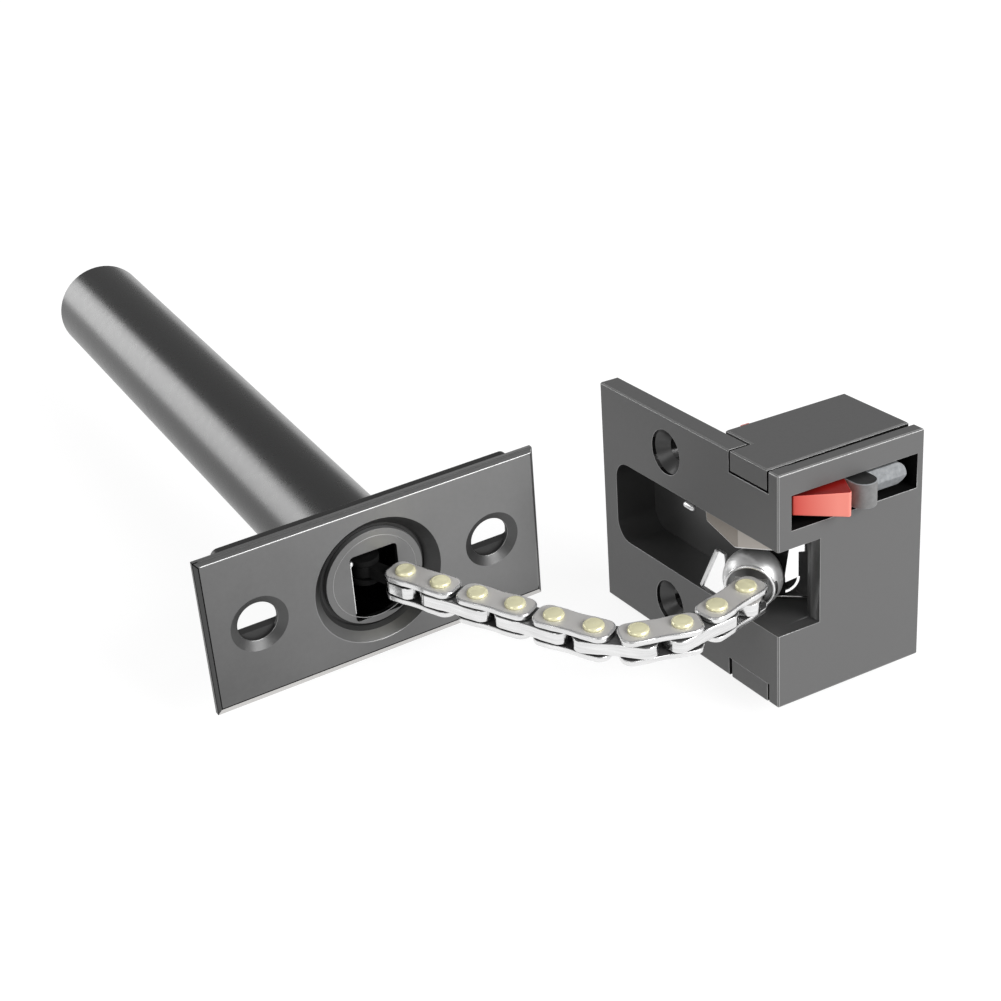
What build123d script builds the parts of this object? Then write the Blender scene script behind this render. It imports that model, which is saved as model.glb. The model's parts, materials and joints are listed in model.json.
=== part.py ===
from build123d import *
import os
from math import cos, radians, sin, sqrt

os.makedirs("parts", exist_ok=True)

# Door chain: a screwed face plate with a long tube, a flat link chain that runs out of it,
# a ball on the chain's end, and the keeper that holds the ball in its slot.
# Origin: centre of the face plate's front face. +Y runs back along the tube, +Z is up.

# Face plate, backing plate, guide disc and tube
FACE_LENGTH = 70.0
FACE_HEIGHT = 33.2
FACE_THICK = 1.7
FACE_BEVEL = 0.8
SCREW_PITCH = 49.0
SCREW_HOLE_R = 4.0
SCREW_SINK_R = 5.75
SCREW_SINK_DEPTH = 1.0
BACKING_LENGTH = 61.2
BACKING_HEIGHT = 32.6
BACKING_THICK = 1.9
BACKING_CORNER_R = 1.5
BACKING_SLOT_LENGTH = 9.8
BACKING_SLOT_HEIGHT = 6.4
BACKING_SLOT_WEB = 1.2
DISH_R = 13.2
DISH_DEPTH = 2.5
DISC_R = 10.1
DISC_GAP = 0.8
LEDGE_THICK = 0.7
GUIDE_WIDTH = 9.8
GUIDE_HEIGHT = 14.4
GUIDE_X = 0.17
GUIDE_Z = -1.5
GUIDE_CORNER_R = 0.8
TUBE_R = 10.65
TUBE_WALL = 1.1
TUBE_END = 150.0
END_CAP_THICK = 2.0
END_CAP_SETBACK = 0.6

# Chain
PITCH = 8.0
LINK_OVERHANG = 3.65
LINK_HALF_WIDTH = 3.1
LINK_WAIST = 0.22
LINK_CORNER_R = 2.15
BLOCK_THICK = 2.5
SIDE_GAP = 0.25
PLATE_THICK = 1.15
PLATE_EDGE = 0.22
RIVET_R = 1.2
RIVET_RUNNING_GAP = 0.05
HEAD_R = 1.95
HEAD_HEIGHT = 0.8
HEAD_EDGE = 0.25
# Rest direction of each pitch after the tail, in degrees from +X
REST_HEADINGS = [-69.2, -64.3, -61.5, -60.9, -61.5, -60.3, -45.0, -17.9, 5.3, 13.2]
LUG_HEADING = 43.2

# First block's narrow neck, and the forked plug that slides in the tube
TAIL_PIN_DEPTH = 6.0
FIRST_REACH = 10.62
NECK_HALF_WIDTH = 1.3
NECK_END_R = 2.6
FORK_HALF_WIDTH = 2.9
FORK_THROAT = 6.0
PLUG_DEPTH = 9.4
PLUG_GAP = 0.3
PLUG_LENGTH = 7.0

# Ball
BALL_R = 5.6
BALL_REACH = 7.42
MOUTH_R = 4.25
MOUTH_FLOOR = -2.3
LUG_HALF_WIDTH = 2.95

# Keeper, drawn square in its own frame: X from the slotted face, Y from the front face
KEEPER_TURN_X = -4.95
KEEPER_TURN_Y = 2.74
KEEPER_TURN_Z = 0.48
BALL_IN_KEEPER = (3.05, 11.28, -1.89)
FLANGE_LENGTH = 56.1
FLANGE_THICK = 4.35
KEEPER_DEPTH = 33.2
KEEPER_HEIGHT = 47.0
CASTING_EDGE = 0.25
FRONT_THICK = 2.7
CASE_WALL = 0.9
CASE_SIDE = 1.6
CASE_BACK = 21.5
SLOT_HALF = 8.5
SLOT_END = 51.5
SLOT_CORNER_R = 4.0
NOTCH_DEPTH = 9.5
CHANNEL_DEPTH = 9.1
ROOM_DEPTH = 13.6
CHANNEL_WALL = 1.4
KEEPER_HOLE_Y = 34.05
KEEPER_HOLE_Z = 16.1
KEEPER_HOLE_R = 4.5
KEEPER_HOLE_SINK = 0.8
KEEPER_CONE_END = 3.0
KEEPER_SCREW_R = 2.5
WINDOW_LEFT = 3.0
WINDOW_RIGHT = 31.9
WINDOW_LOW = 12.0
WINDOW_HIGH = 18.85
WINDOW_DEPTH = 16.0
COVER_BASE = 19.6
COVER_PROUD = 0.12
COVER_GAP = 0.5
COVER_TAB_START = 2.7
COVER_TAB_END = 14.3
LOW_NOTCH_END = 14.9
LOW_TAB_GAP = 0.9
RED_TAIL_X = 9.6
RED_TAIL_WIDTH = 2.2
RED_TAIL_HEIGHT = 1.4
RED_TAIL_THICK = 0.6

# Latch steel inside the keeper
GATE_SETBACK = 0.6
GATE_THICK = 0.9
GATE_BEND = 8.0
GATE_BEND_Y = 12.5
LOWER_GATE_THICK = 0.7
GATE_PIN_R = 0.65
GATE_PIN_X = 1.0
GATE_PIN_DROP = 1.6
GATE_PIN_START = 26.3
GATE_PIN_END = 29.5
LATCH_BALL_GAP = 0.4
STRIP_X = 9.0
STRIP_Y = 5.5
STRIP_TURN = -28.0
STRIP_THICK = 0.5
STRIP_CURL_R = 3.3
WIRE_R = 0.3

# Lock rocker in the keeper's window, turning on an upright pin
ROCKER_PIN_X = 18.2
ROCKER_PIN_Y = 4.9
ROCKER_PIN_R = 1.2
PIN_SEAT = 1.0
ROCKER_RUNNING_GAP = 0.05
ROCKER_HUB_R = 2.7
GRIP_R = 2.5
GRIP_Y = -1.15
GRIP_LOW = 13.3
ROCKER_HIGH = 18.2
RED_LEFT = 4.0
RED_LOW_LEFT = 14.5
RED_LOW_RIGHT = 13.3
PALE_RIGHT = 30.5
PALE_LOW = 12.9
PALE_HIGH = 17.3
PALE_CREASE = 14.7
PALE_END_R = 2.1


def block(x0, x1, y0, y1, z0, z1):
    return Pos((x0 + x1) / 2, (y0 + y1) / 2, (z0 + z1) / 2) * Box(x1 - x0, y1 - y0, z1 - z0)


def rod_z(x, y, r, z0, z1):
    return Pos(x, y, (z0 + z1) / 2) * Cylinder(r, z1 - z0)


def rod_y(x, z, r, y0, y1):
    return Pos(x, (y0 + y1) / 2, z) * Rot(90, 0, 0) * Cylinder(r, y1 - y0)


def rod_x(y, z, r, x0, x1):
    return Pos((x0 + x1) / 2, y, z) * Rot(0, 90, 0) * Cylinder(r, x1 - x0)


def cone_y(x, z, r_front, r_back, y0, y1):
    return Pos(x, (y0 + y1) / 2, z) * Rot(90, 0, 0) * Cone(r_back, r_front, y1 - y0)


def cone_x(y, z, r_start, r_end, x0, x1):
    return Pos((x0 + x1) / 2, y, z) * Rot(0, 90, 0) * Cone(r_start, r_end, x1 - x0)


def save(shape, name):
    export_step(shape, f"parts/{name}.step")


# Face plate: bevelled front, dished centre, two countersunk screw holes
backing_back = FACE_THICK + BACKING_THICK
seat_r = DISC_R + DISC_GAP
tube_bore_r = TUBE_R - TUBE_WALL
dish = cone_y(0, 0, DISH_R, seat_r, 0, DISH_DEPTH)
face = block(-FACE_LENGTH / 2, FACE_LENGTH / 2, 0, FACE_THICK, -FACE_HEIGHT / 2, FACE_HEIGHT / 2)
face = chamfer(face.faces().sort_by(Axis.Y)[0].edges(), FACE_BEVEL)
face -= dish
for side in (-1, 1):
    face -= rod_y(side * SCREW_PITCH / 2, 0, SCREW_HOLE_R, -1, FACE_THICK + 1)
    face -= cone_y(side * SCREW_PITCH / 2, 0, SCREW_SINK_R, SCREW_HOLE_R, 0, SCREW_SINK_DEPTH)
save(face, "face_plate")

# Backing plate: an oblong slot behind each screw hole, and a seat with a ledge for the guide disc
backing_outline = RectangleRounded(BACKING_LENGTH, BACKING_HEIGHT, BACKING_CORNER_R)
slot_inner = (SCREW_PITCH - BACKING_SLOT_LENGTH) / 2
slot_outer = BACKING_LENGTH / 2 - BACKING_SLOT_WEB
slot_outline = RectangleRounded(slot_outer - slot_inner, BACKING_SLOT_HEIGHT, GUIDE_CORNER_R)
upright = Pos(0, backing_back, 0) * Rot(90, 0, 0)
backing = upright * extrude(backing_outline, BACKING_THICK)
disc_back = backing_back - LEDGE_THICK
backing -= dish
backing -= rod_y(0, 0, seat_r, 0, disc_back)
backing -= rod_y(0, 0, tube_bore_r, 0, backing_back + 1)
for side in (-1, 1):
    slot_middle = side * (slot_inner + slot_outer) / 2
    backing -= Pos(slot_middle, 0, 0) * upright * extrude(slot_outline, BACKING_THICK)
save(backing, "backing_plate")

# Guide disc: the chain runs through its upright window
disc = rod_y(0, 0, DISC_R, FACE_THICK, disc_back)
guide_outline = RectangleRounded(GUIDE_WIDTH, GUIDE_HEIGHT, GUIDE_CORNER_R)
disc -= Pos(GUIDE_X, 0, GUIDE_Z) * upright * extrude(guide_outline, BACKING_THICK)
save(disc, "guide_disc")

# Tube and its end cap
tube = rod_y(0, 0, TUBE_R, backing_back, TUBE_END)
tube -= rod_y(0, 0, tube_bore_r, backing_back - 1, TUBE_END + 1)
save(tube, "tube")
cap_back = TUBE_END - END_CAP_SETBACK
save(rod_y(0, 0, tube_bore_r, cap_back - END_CAP_THICK, cap_back), "tube_end_cap")

# Chain outlines, drawn about the middle of one pitch along X
half_length = PITCH / 2 + LINK_OVERHANG
plate_low = BLOCK_THICK / 2 + SIDE_GAP
plate_high = plate_low + PLATE_THICK
rivet_top = plate_high + HEAD_HEIGHT


def link_outline(half_width):
    outline = RectangleRounded(2 * half_length, 2 * half_width, LINK_CORNER_R)
    # A shallow waist on both sides between the two pins
    run = PITCH / 2 - RIVET_R
    sag_r = (run**2 + LINK_WAIST**2) / (2 * LINK_WAIST)
    for side in (-1, 1):
        outline -= Pos(0, side * (half_width - LINK_WAIST + sag_r)) * Circle(sag_r)
    return outline


def pair_of_holes(r, height):
    holes = rod_z(-PITCH / 2, 0, r, -height, height)
    return holes + rod_z(PITCH / 2, 0, r, -height, height)


block_bore_r = RIVET_R + RIVET_RUNNING_GAP


def inner_block():
    body = Pos(0, 0, -BLOCK_THICK / 2) * extrude(link_outline(LINK_HALF_WIDTH), BLOCK_THICK)
    return body - pair_of_holes(block_bore_r, BLOCK_THICK)


def necked_block():
    # Drawn from the fork's pin at 0 to the first chain pin
    outline = Pos(FIRST_REACH / 2, 0) * Rectangle(FIRST_REACH, 2 * NECK_HALF_WIDTH)
    outline += Circle(NECK_END_R)
    head = RectangleRounded(2 * LINK_OVERHANG, 2 * LINK_HALF_WIDTH, LINK_CORNER_R)
    outline += Pos(FIRST_REACH, 0) * head
    body = Pos(0, 0, -BLOCK_THICK / 2) * extrude(outline, BLOCK_THICK)
    body -= rod_z(0, 0, block_bore_r, -BLOCK_THICK, BLOCK_THICK)
    return body - rod_z(FIRST_REACH, 0, block_bore_r, -BLOCK_THICK, BLOCK_THICK)


def outer_plate():
    body = Pos(0, 0, plate_low) * extrude(link_outline(LINK_HALF_WIDTH), PLATE_THICK)
    body = chamfer(body.faces().sort_by(Axis.Z)[-1].edges(), PLATE_EDGE)
    return body - pair_of_holes(RIVET_R, rivet_top)


def rivet_at(x):
    shank = rod_z(x, 0, RIVET_R, -plate_high, plate_high)
    head = rod_z(x, 0, HEAD_R, plate_high, rivet_top)
    low_head = mirror(head, about=Plane.XY)
    head = chamfer(head.faces().sort_by(Axis.Z)[-1].edges(), HEAD_EDGE)
    return shank + head + low_head


def pair_of_rivets():
    return rivet_at(-PITCH / 2) + rivet_at(PITCH / 2)


block_shape = inner_block()
plate_shape = outer_plate()
low_plate_shape = mirror(plate_shape, about=Plane.XY)
rivets_shape = pair_of_rivets()

# Pin positions from the tail out, then the middle of each pitch
pins = [(0.0, TAIL_PIN_DEPTH)]
for heading in REST_HEADINGS:
    x, y = pins[-1]
    reach = FIRST_REACH if len(pins) == 1 else PITCH
    pins.append((x + reach * cos(radians(heading)), y + reach * sin(radians(heading))))


def on_pitch(i):
    # Pitch i runs from pin i to pin i + 1
    heading = REST_HEADINGS[i]
    x = pins[i][0] + PITCH / 2 * cos(radians(heading))
    y = pins[i][1] + PITCH / 2 * sin(radians(heading))
    return Pos(x, y, 0) * Rot(0, 0, heading)


neck_place = Pos(0, TAIL_PIN_DEPTH, 0) * Rot(0, 0, REST_HEADINGS[0])
save(neck_place * necked_block(), "chain_block_1")
for i in range(1, len(REST_HEADINGS)):
    place = on_pitch(i)
    number = i // 2 + 1
    if i % 2 == 0:
        save(place * block_shape, f"chain_block_{number}")
    else:
        save(place * plate_shape, f"link_top_{number}")
        save(place * low_plate_shape, f"link_bottom_{number}")
        save(place * rivets_shape, f"link_rivets_{number}")

# Forked plug in the tube: it holds the first block's neck and stops against the guide disc
fork_end = TAIL_PIN_DEPTH + PLUG_DEPTH
plug = rod_y(0, 0, tube_bore_r - PLUG_GAP, fork_end, fork_end + PLUG_LENGTH)
fork = rod_z(0, TAIL_PIN_DEPTH, FORK_HALF_WIDTH, -plate_high, plate_high)
fork += block(
    -FORK_HALF_WIDTH, FORK_HALF_WIDTH, TAIL_PIN_DEPTH, fork_end, -plate_high, plate_high
)
throat = TAIL_PIN_DEPTH + FORK_THROAT
fork -= block(-TUBE_R, TUBE_R, -TUBE_R, throat, -plate_low, plate_low)
plug += fork
plug -= rod_z(0, TAIL_PIN_DEPTH, RIVET_R, -TUBE_R, TUBE_R)
save(plug, "tail_plug")
save(rod_z(0, TAIL_PIN_DEPTH, RIVET_R, -plate_high, plate_high), "tail_pin")

# Ball head, drawn about the ball's centre with its mouth towards -X
lug_end = -BALL_REACH - LINK_OVERHANG
mouth_rim = (-sqrt(BALL_R**2 - MOUTH_R**2), MOUTH_R)
ball_lines = ThreePointArc((BALL_R, 0), (0, BALL_R), mouth_rim)
ball_lines += Polyline(mouth_rim, (MOUTH_FLOOR, MOUTH_R), (MOUTH_FLOOR, 0), (BALL_R, 0))
ball = revolve(make_face(ball_lines), Axis.X)
lug_outline = RectangleRounded(BALL_REACH + LINK_OVERHANG, 2 * LUG_HALF_WIDTH, LINK_CORNER_R)
lug = Pos(lug_end / 2, 0, -BLOCK_THICK / 2) * extrude(lug_outline, BLOCK_THICK)
ball += lug
ball -= rod_z(-BALL_REACH, 0, block_bore_r, -BLOCK_THICK, BLOCK_THICK)
ball_x = pins[-1][0] + BALL_REACH * cos(radians(LUG_HEADING))
ball_y = pins[-1][1] + BALL_REACH * sin(radians(LUG_HEADING))
save(Pos(ball_x, ball_y, 0) * Rot(0, 0, LUG_HEADING) * ball, "ball_head")

# Keeper placement: its own frame is tilted a little, and the ball sits in its slot
tilt = Rot(Z=KEEPER_TURN_Z) * Rot(Y=KEEPER_TURN_Y) * Rot(X=KEEPER_TURN_X)
held = tilt * Pos(*BALL_IN_KEEPER)
spot = held.position
keeper_place = Pos(ball_x - spot.X, ball_y - spot.Y, -spot.Z) * tilt


def keep(shape, name):
    save(keeper_place * shape, name)


half_height = KEEPER_HEIGHT / 2

# Keeper housing: an L of slotted flange and front plate
l_points = [
    (0, 0),
    (KEEPER_DEPTH, 0),
    (KEEPER_DEPTH, FRONT_THICK),
    (FLANGE_THICK, FRONT_THICK),
    (FLANGE_THICK, FLANGE_LENGTH),
    (0, FLANGE_LENGTH),
]
l_face = make_face(Polyline(*l_points, close=True))
housing = Pos(0, 0, -half_height) * extrude(l_face, KEEPER_HEIGHT)
housing = chamfer(housing.edges().filter_by(Axis.Z).group_by(Axis.X)[0], CASTING_EDGE)
housing = chamfer(housing.faces().filter_by(Axis.Z).edges(), CASTING_EDGE)
slot = block(-1, FLANGE_THICK + 1, -1, SLOT_END, -SLOT_HALF, SLOT_HALF)
slot = fillet(slot.edges().filter_by(Axis.X).group_by(Axis.Y)[-1], SLOT_CORNER_R)
housing -= slot
housing -= block(-1, NOTCH_DEPTH, -1, FRONT_THICK + 1, -SLOT_HALF, SLOT_HALF)
window = block(WINDOW_LEFT, WINDOW_RIGHT, -1, WINDOW_DEPTH, WINDOW_LOW, WINDOW_HIGH)
housing -= window
over = half_height + 1
tab_floor = COVER_BASE - COVER_GAP
housing -= block(-1, FLANGE_THICK + 1, COVER_TAB_START, COVER_TAB_END, tab_floor, over)
housing -= block(-1, FLANGE_THICK + 1, COVER_TAB_START, LOW_NOTCH_END, -over, -COVER_BASE)
for z in (-KEEPER_HOLE_Z, KEEPER_HOLE_Z):
    housing -= rod_x(KEEPER_HOLE_Y, z, KEEPER_SCREW_R, -1, FLANGE_THICK + 1)
    housing -= rod_x(KEEPER_HOLE_Y, z, KEEPER_HOLE_R, -1, KEEPER_HOLE_SINK)
    housing -= cone_x(
        KEEPER_HOLE_Y, z, KEEPER_HOLE_R, KEEPER_SCREW_R, KEEPER_HOLE_SINK, KEEPER_CONE_END
    )
keep(housing, "keeper_housing")

# Keeper case behind the front plate: open top and bottom rooms, and the ball's room between
case = block(FLANGE_THICK, KEEPER_DEPTH, FRONT_THICK, CASE_BACK, -COVER_BASE, COVER_BASE)
room_left = FLANGE_THICK + CASE_WALL
room_right = KEEPER_DEPTH - CASE_SIDE
room_front = FRONT_THICK + CASE_WALL
room_back = CASE_BACK - CASE_SIDE
deck = SLOT_HALF + CHANNEL_WALL
for side in (-1, 1):
    low = min(side * deck, side * (COVER_BASE + 1))
    high = max(side * deck, side * (COVER_BASE + 1))
    case -= block(room_left, room_right, room_front, room_back, low, high)
case -= window
case -= block(FLANGE_THICK - 1, NOTCH_DEPTH, FRONT_THICK - 1, room_front, -SLOT_HALF, SLOT_HALF)
case -= block(FLANGE_THICK - 1, ROOM_DEPTH, room_front, room_back, -SLOT_HALF, SLOT_HALF)
case -= block(FLANGE_THICK - 1, CHANNEL_DEPTH, room_back - 1, CASE_BACK + 1, -SLOT_HALF, SLOT_HALF)
case -= rod_z(ROCKER_PIN_X, ROCKER_PIN_Y, ROCKER_PIN_R, deck - PIN_SEAT, deck + 1)
keep(case, "keeper_case")

# Channel box: carries the slot's depth on behind the flange
channel_outer = CHANNEL_DEPTH + CHANNEL_WALL
channel_end = SLOT_END + CHANNEL_WALL
channel = block(FLANGE_THICK, channel_outer, CASE_BACK, channel_end, -deck, deck)
groove = block(FLANGE_THICK - 1, CHANNEL_DEPTH, CASE_BACK - 1, SLOT_END, -SLOT_HALF, SLOT_HALF)
groove = fillet(groove.edges().filter_by(Axis.X).group_by(Axis.Y)[-1], SLOT_CORNER_R)
channel -= groove
keep(channel, "channel_box")

# Top and bottom covers with the tab that reaches the slotted face
cover_high = half_height + COVER_PROUD
cover_left = FLANGE_THICK + COVER_GAP
cover_right = KEEPER_DEPTH - COVER_GAP
cover_front = FRONT_THICK + COVER_GAP


def cover_with_tab(tab_end):
    cover = block(cover_left, cover_right, cover_front, CASE_BACK, COVER_BASE, cover_high)
    tab_start = COVER_TAB_START + COVER_GAP
    cover += block(0, cover_left, tab_start, tab_end, COVER_BASE, cover_high)
    return chamfer(cover.faces().sort_by(Axis.Z)[-1].edges(), CASTING_EDGE)


top_cover = cover_with_tab(COVER_TAB_END - COVER_GAP)
top_cover -= rod_z(ROCKER_PIN_X, ROCKER_PIN_Y, ROCKER_PIN_R, COVER_BASE - 1, COVER_BASE + PIN_SEAT)
keep(top_cover, "keeper_top_cover")
keep(mirror(cover_with_tab(LOW_NOTCH_END - LOW_TAB_GAP), about=Plane.XY), "keeper_bottom_cover")

# Red tail of the latch, just showing over the cover's rear edge
red_tail = Box(RED_TAIL_WIDTH, RED_TAIL_THICK, RED_TAIL_HEIGHT)
red_tail = fillet(red_tail.edges().filter_by(Axis.Y), RED_TAIL_HEIGHT / 4)
tail_z = cover_high - CASTING_EDGE - RED_TAIL_HEIGHT / 2
keep(Pos(RED_TAIL_X, CASE_BACK + RED_TAIL_THICK / 2, tail_z) * red_tail, "red_latch_tail")

# Upper gate: bent steel hanging under the slot's roof, over the ball
ball_kx, ball_ky, ball_kz = BALL_IN_KEEPER
ball_space = Pos(*BALL_IN_KEEPER) * Sphere(BALL_R + LATCH_BALL_GAP)
gate_outline = [
    (ball_ky - 7.2, SLOT_HALF),
    (ball_ky - 7.2, 6.8),
    (ball_ky + 2.3, 3.95),
    (ball_ky + 10.9, 6.1),
    (ball_ky + 11.2, SLOT_HALF),
]
gate_face = make_face(Polyline(*[(0, y, z) for y, z in gate_outline], close=True))
gate_end = GATE_SETBACK + GATE_THICK
flat_sheet = block(GATE_SETBACK, gate_end, GATE_BEND_Y, CASE_BACK + 4, 0, SLOT_HALF)
bent_sheet = block(0, GATE_THICK, -12, 0, 0, SLOT_HALF)
bent_sheet = Pos(GATE_SETBACK, GATE_BEND_Y, 0) * Rot(0, 0, GATE_BEND) * bent_sheet
gate = extrude(gate_face, FLANGE_THICK, dir=(1, 0, 0)) & (flat_sheet + bent_sheet)
keep(gate - ball_space, "gate_plate")

# Lower gate: bright sheet standing on the slot's floor behind the ball, with a slanted free edge
lower_outline = [
    (ball_ky + 4.0, -SLOT_HALF),
    (ball_ky + 13.0, -SLOT_HALF),
    (ball_ky + 7.7, 1.3),
    (ball_ky + 5.5, 1.3),
]
lower_face = make_face(Polyline(*[(GATE_SETBACK, y, z) for y, z in lower_outline], close=True))
lower_gate = extrude(lower_face, LOWER_GATE_THICK, dir=(1, 0, 0))
keep(lower_gate - ball_space, "lower_gate")

# Gate pin on a short stem under the slot's roof
gate_pin_z = SLOT_HALF - GATE_PIN_DROP
gate_pin = rod_y(GATE_PIN_X, gate_pin_z, GATE_PIN_R, GATE_PIN_START, GATE_PIN_END)
stem_y = (GATE_PIN_START + GATE_PIN_END) / 2
gate_pin += rod_z(GATE_PIN_X, stem_y, GATE_PIN_R, gate_pin_z, SLOT_HALF)
keep(gate_pin, "gate_pin")

# Bright spring strip beside the ball, curled at its lower end, hanging from the room's roof
strip_outline = [
    (-1.2, SLOT_HALF),
    (1.35, SLOT_HALF),
    (1.35, 3.8),
    (0, 3.8),
    (0, -1.3),
    (-2.7, -2.4),
]
strip_face = make_face(Polyline(*[(x, 0, z) for x, z in strip_outline], close=True))
strip = extrude(strip_face, STRIP_THICK, dir=(0, 1, 0))
curl_x = STRIP_THICK / 2 - STRIP_CURL_R
curl = rod_y(curl_x, -1.2, STRIP_CURL_R, 0, STRIP_THICK)
curl -= rod_y(curl_x, -1.2, STRIP_CURL_R - STRIP_THICK, -1, STRIP_THICK + 1)
strip += curl & block(-2.4, 1, 0, STRIP_THICK, -6, -1.2)
strip_place = Pos(STRIP_X, STRIP_Y, 0) * Rot(0, 0, STRIP_TURN)
keep(strip_place * strip - ball_space, "front_strip")

# Thin wire low in the ball's room
wire_path = Line((8.3, 12.6, -SLOT_HALF + 0.4), (ROOM_DEPTH, 8.0, -SLOT_HALF + 0.4))
wire = sweep(Plane(origin=wire_path @ 0, z_dir=wire_path % 0) * Circle(WIRE_R), wire_path)
wire &= block(0, ROOM_DEPTH, 0, CASE_BACK, -SLOT_HALF, SLOT_HALF)
keep(wire, "room_wire")

# Rocker pin, upright in the case's deck and the top cover
pin_low = deck - PIN_SEAT
pin_high = COVER_BASE + PIN_SEAT
keep(rod_z(ROCKER_PIN_X, ROCKER_PIN_Y, ROCKER_PIN_R, pin_low, pin_high), "rocker_pin")

# Lock rocker: dark grip and hub, red thumb wing to the left, pale wing to the right
grip_outline = Pos(ROCKER_PIN_X, ROCKER_PIN_Y) * Circle(ROCKER_HUB_R)
grip_outline += Pos(ROCKER_PIN_X, GRIP_Y) * Circle(GRIP_R)
neck = Rectangle(2 * GRIP_R, ROCKER_PIN_Y - GRIP_Y)
grip_outline += Pos(ROCKER_PIN_X, (ROCKER_PIN_Y + GRIP_Y) / 2) * neck
pin_clearance = Pos(ROCKER_PIN_X, ROCKER_PIN_Y) * Circle(ROCKER_PIN_R + ROCKER_RUNNING_GAP)
grip_height = ROCKER_HIGH - GRIP_LOW
keep(Pos(0, 0, GRIP_LOW) * extrude(grip_outline - pin_clearance, grip_height), "rocker_grip")

red_points = [
    (RED_LEFT, 0.95),
    (RED_LEFT + 8.7, -4.0),
    (RED_LEFT + 9.3, -3.8),
    (ROCKER_PIN_X - GRIP_R, 0.9),
    (ROCKER_PIN_X, 4.6),
    (RED_LEFT + 7.0, 4.6),
    (RED_LEFT, 3.0),
]
red_outline = make_face(Polyline(*red_points, close=True)) - grip_outline
red_side = [
    (RED_LEFT - 1, ROCKER_HIGH),
    (ROCKER_PIN_X, ROCKER_HIGH),
    (ROCKER_PIN_X, RED_LOW_RIGHT),
    (RED_LEFT + 8.7, RED_LOW_RIGHT),
    (RED_LEFT - 1, RED_LOW_LEFT),
]
red_face = make_face(Polyline(*[(x, -CASE_BACK, z) for x, z in red_side], close=True))
red_wing = extrude(red_outline - pin_clearance, ROCKER_HIGH)
red_wing &= extrude(red_face, 2 * CASE_BACK, dir=(0, 1, 0))
keep(red_wing, "rocker_red_wing")

# The pale wing's face has a crease along its middle and a round right end
pale_side = [
    (1.9, PALE_LOW),
    (1.2, PALE_CREASE),
    (1.9, PALE_HIGH),
    (4.3, PALE_HIGH),
    (4.3, PALE_LOW),
]
pale_face = make_face(Polyline(*[(ROCKER_PIN_X, y, z) for y, z in pale_side], close=True))
pale_length = PALE_RIGHT - ROCKER_PIN_X
pale_wing = extrude(pale_face, pale_length, dir=(1, 0, 0))
pale_front = RectangleRounded(2 * pale_length, PALE_HIGH - PALE_LOW, PALE_END_R)
pale_middle = Pos(ROCKER_PIN_X, 2 * CASE_BACK, (PALE_HIGH + PALE_LOW) / 2) * Rot(90, 0, 0)
pale_wing &= pale_middle * extrude(pale_front, 4 * CASE_BACK)
pale_wing -= extrude(grip_outline + pin_clearance, 2 * ROCKER_HIGH)
keep(pale_wing, "rocker_pale_wing")
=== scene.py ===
# %% [markdown]
# This script dresses a door chain: a face plate with a long tube, a flat chain of
# riveted links, a ball on its end, and the keeper that holds the ball. The solids come
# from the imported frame. They could be shown as they are, but real cut and cast edges
# catch a thin line of light, so nearly every solid gets a copy with softened edges.

# %% Frame and imports
import json
import math

import bmesh
import bpy
from mathutils import Euler, Matrix, Vector


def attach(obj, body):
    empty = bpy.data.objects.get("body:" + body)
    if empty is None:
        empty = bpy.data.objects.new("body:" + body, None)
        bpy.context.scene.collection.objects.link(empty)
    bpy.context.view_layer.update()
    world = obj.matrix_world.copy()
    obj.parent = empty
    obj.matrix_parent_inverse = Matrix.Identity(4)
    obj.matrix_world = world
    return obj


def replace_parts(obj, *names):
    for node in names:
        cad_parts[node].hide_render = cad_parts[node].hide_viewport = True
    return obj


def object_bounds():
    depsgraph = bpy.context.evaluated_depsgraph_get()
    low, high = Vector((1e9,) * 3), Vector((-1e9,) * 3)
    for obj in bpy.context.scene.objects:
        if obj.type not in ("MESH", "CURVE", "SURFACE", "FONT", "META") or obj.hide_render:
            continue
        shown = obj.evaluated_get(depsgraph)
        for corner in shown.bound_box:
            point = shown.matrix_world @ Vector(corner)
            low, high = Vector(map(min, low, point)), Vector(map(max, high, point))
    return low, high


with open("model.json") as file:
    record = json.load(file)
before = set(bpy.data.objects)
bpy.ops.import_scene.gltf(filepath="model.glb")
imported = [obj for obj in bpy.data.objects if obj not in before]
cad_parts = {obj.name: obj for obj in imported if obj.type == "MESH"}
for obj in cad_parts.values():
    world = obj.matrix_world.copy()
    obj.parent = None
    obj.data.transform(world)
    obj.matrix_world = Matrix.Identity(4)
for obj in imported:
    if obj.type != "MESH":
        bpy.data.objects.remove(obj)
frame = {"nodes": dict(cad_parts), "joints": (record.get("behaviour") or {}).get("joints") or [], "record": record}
cad_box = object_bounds()
print("frame loaded with", len(frame["nodes"]), "nodes; CAD box", cad_box)

MM = 0.001

# %% [markdown]
# The camera stands to the left of the set and above it, as for a catalogue picture of
# parts on a white table. Its place came from fitting the corners of the face plate and
# the keeper, and the line of rivets, so the lens is fixed and nothing is tilted by eye.

# %% Camera
AZIMUTH = -0.49299
ELEVATION = 0.54262
ROLL = -0.07154
CAMERA_SPOT = Vector((-119.129, -271.960, 194.000)) * MM
FOCAL_PIXELS = 1885.7236
IMAGE_PIXELS = 1001
SENSOR_MM = 36.0


def camera_axes():
    back = Vector((
        math.sin(AZIMUTH) * math.cos(ELEVATION),
        -math.cos(AZIMUTH) * math.cos(ELEVATION),
        math.sin(ELEVATION),
    ))
    level_right = (-back).cross(Vector((0, 0, 1))).normalized()
    level_up = level_right.cross(-back)
    right = math.cos(ROLL) * level_right + math.sin(ROLL) * level_up
    up = -math.sin(ROLL) * level_right + math.cos(ROLL) * level_up
    return right, up, back


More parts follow.
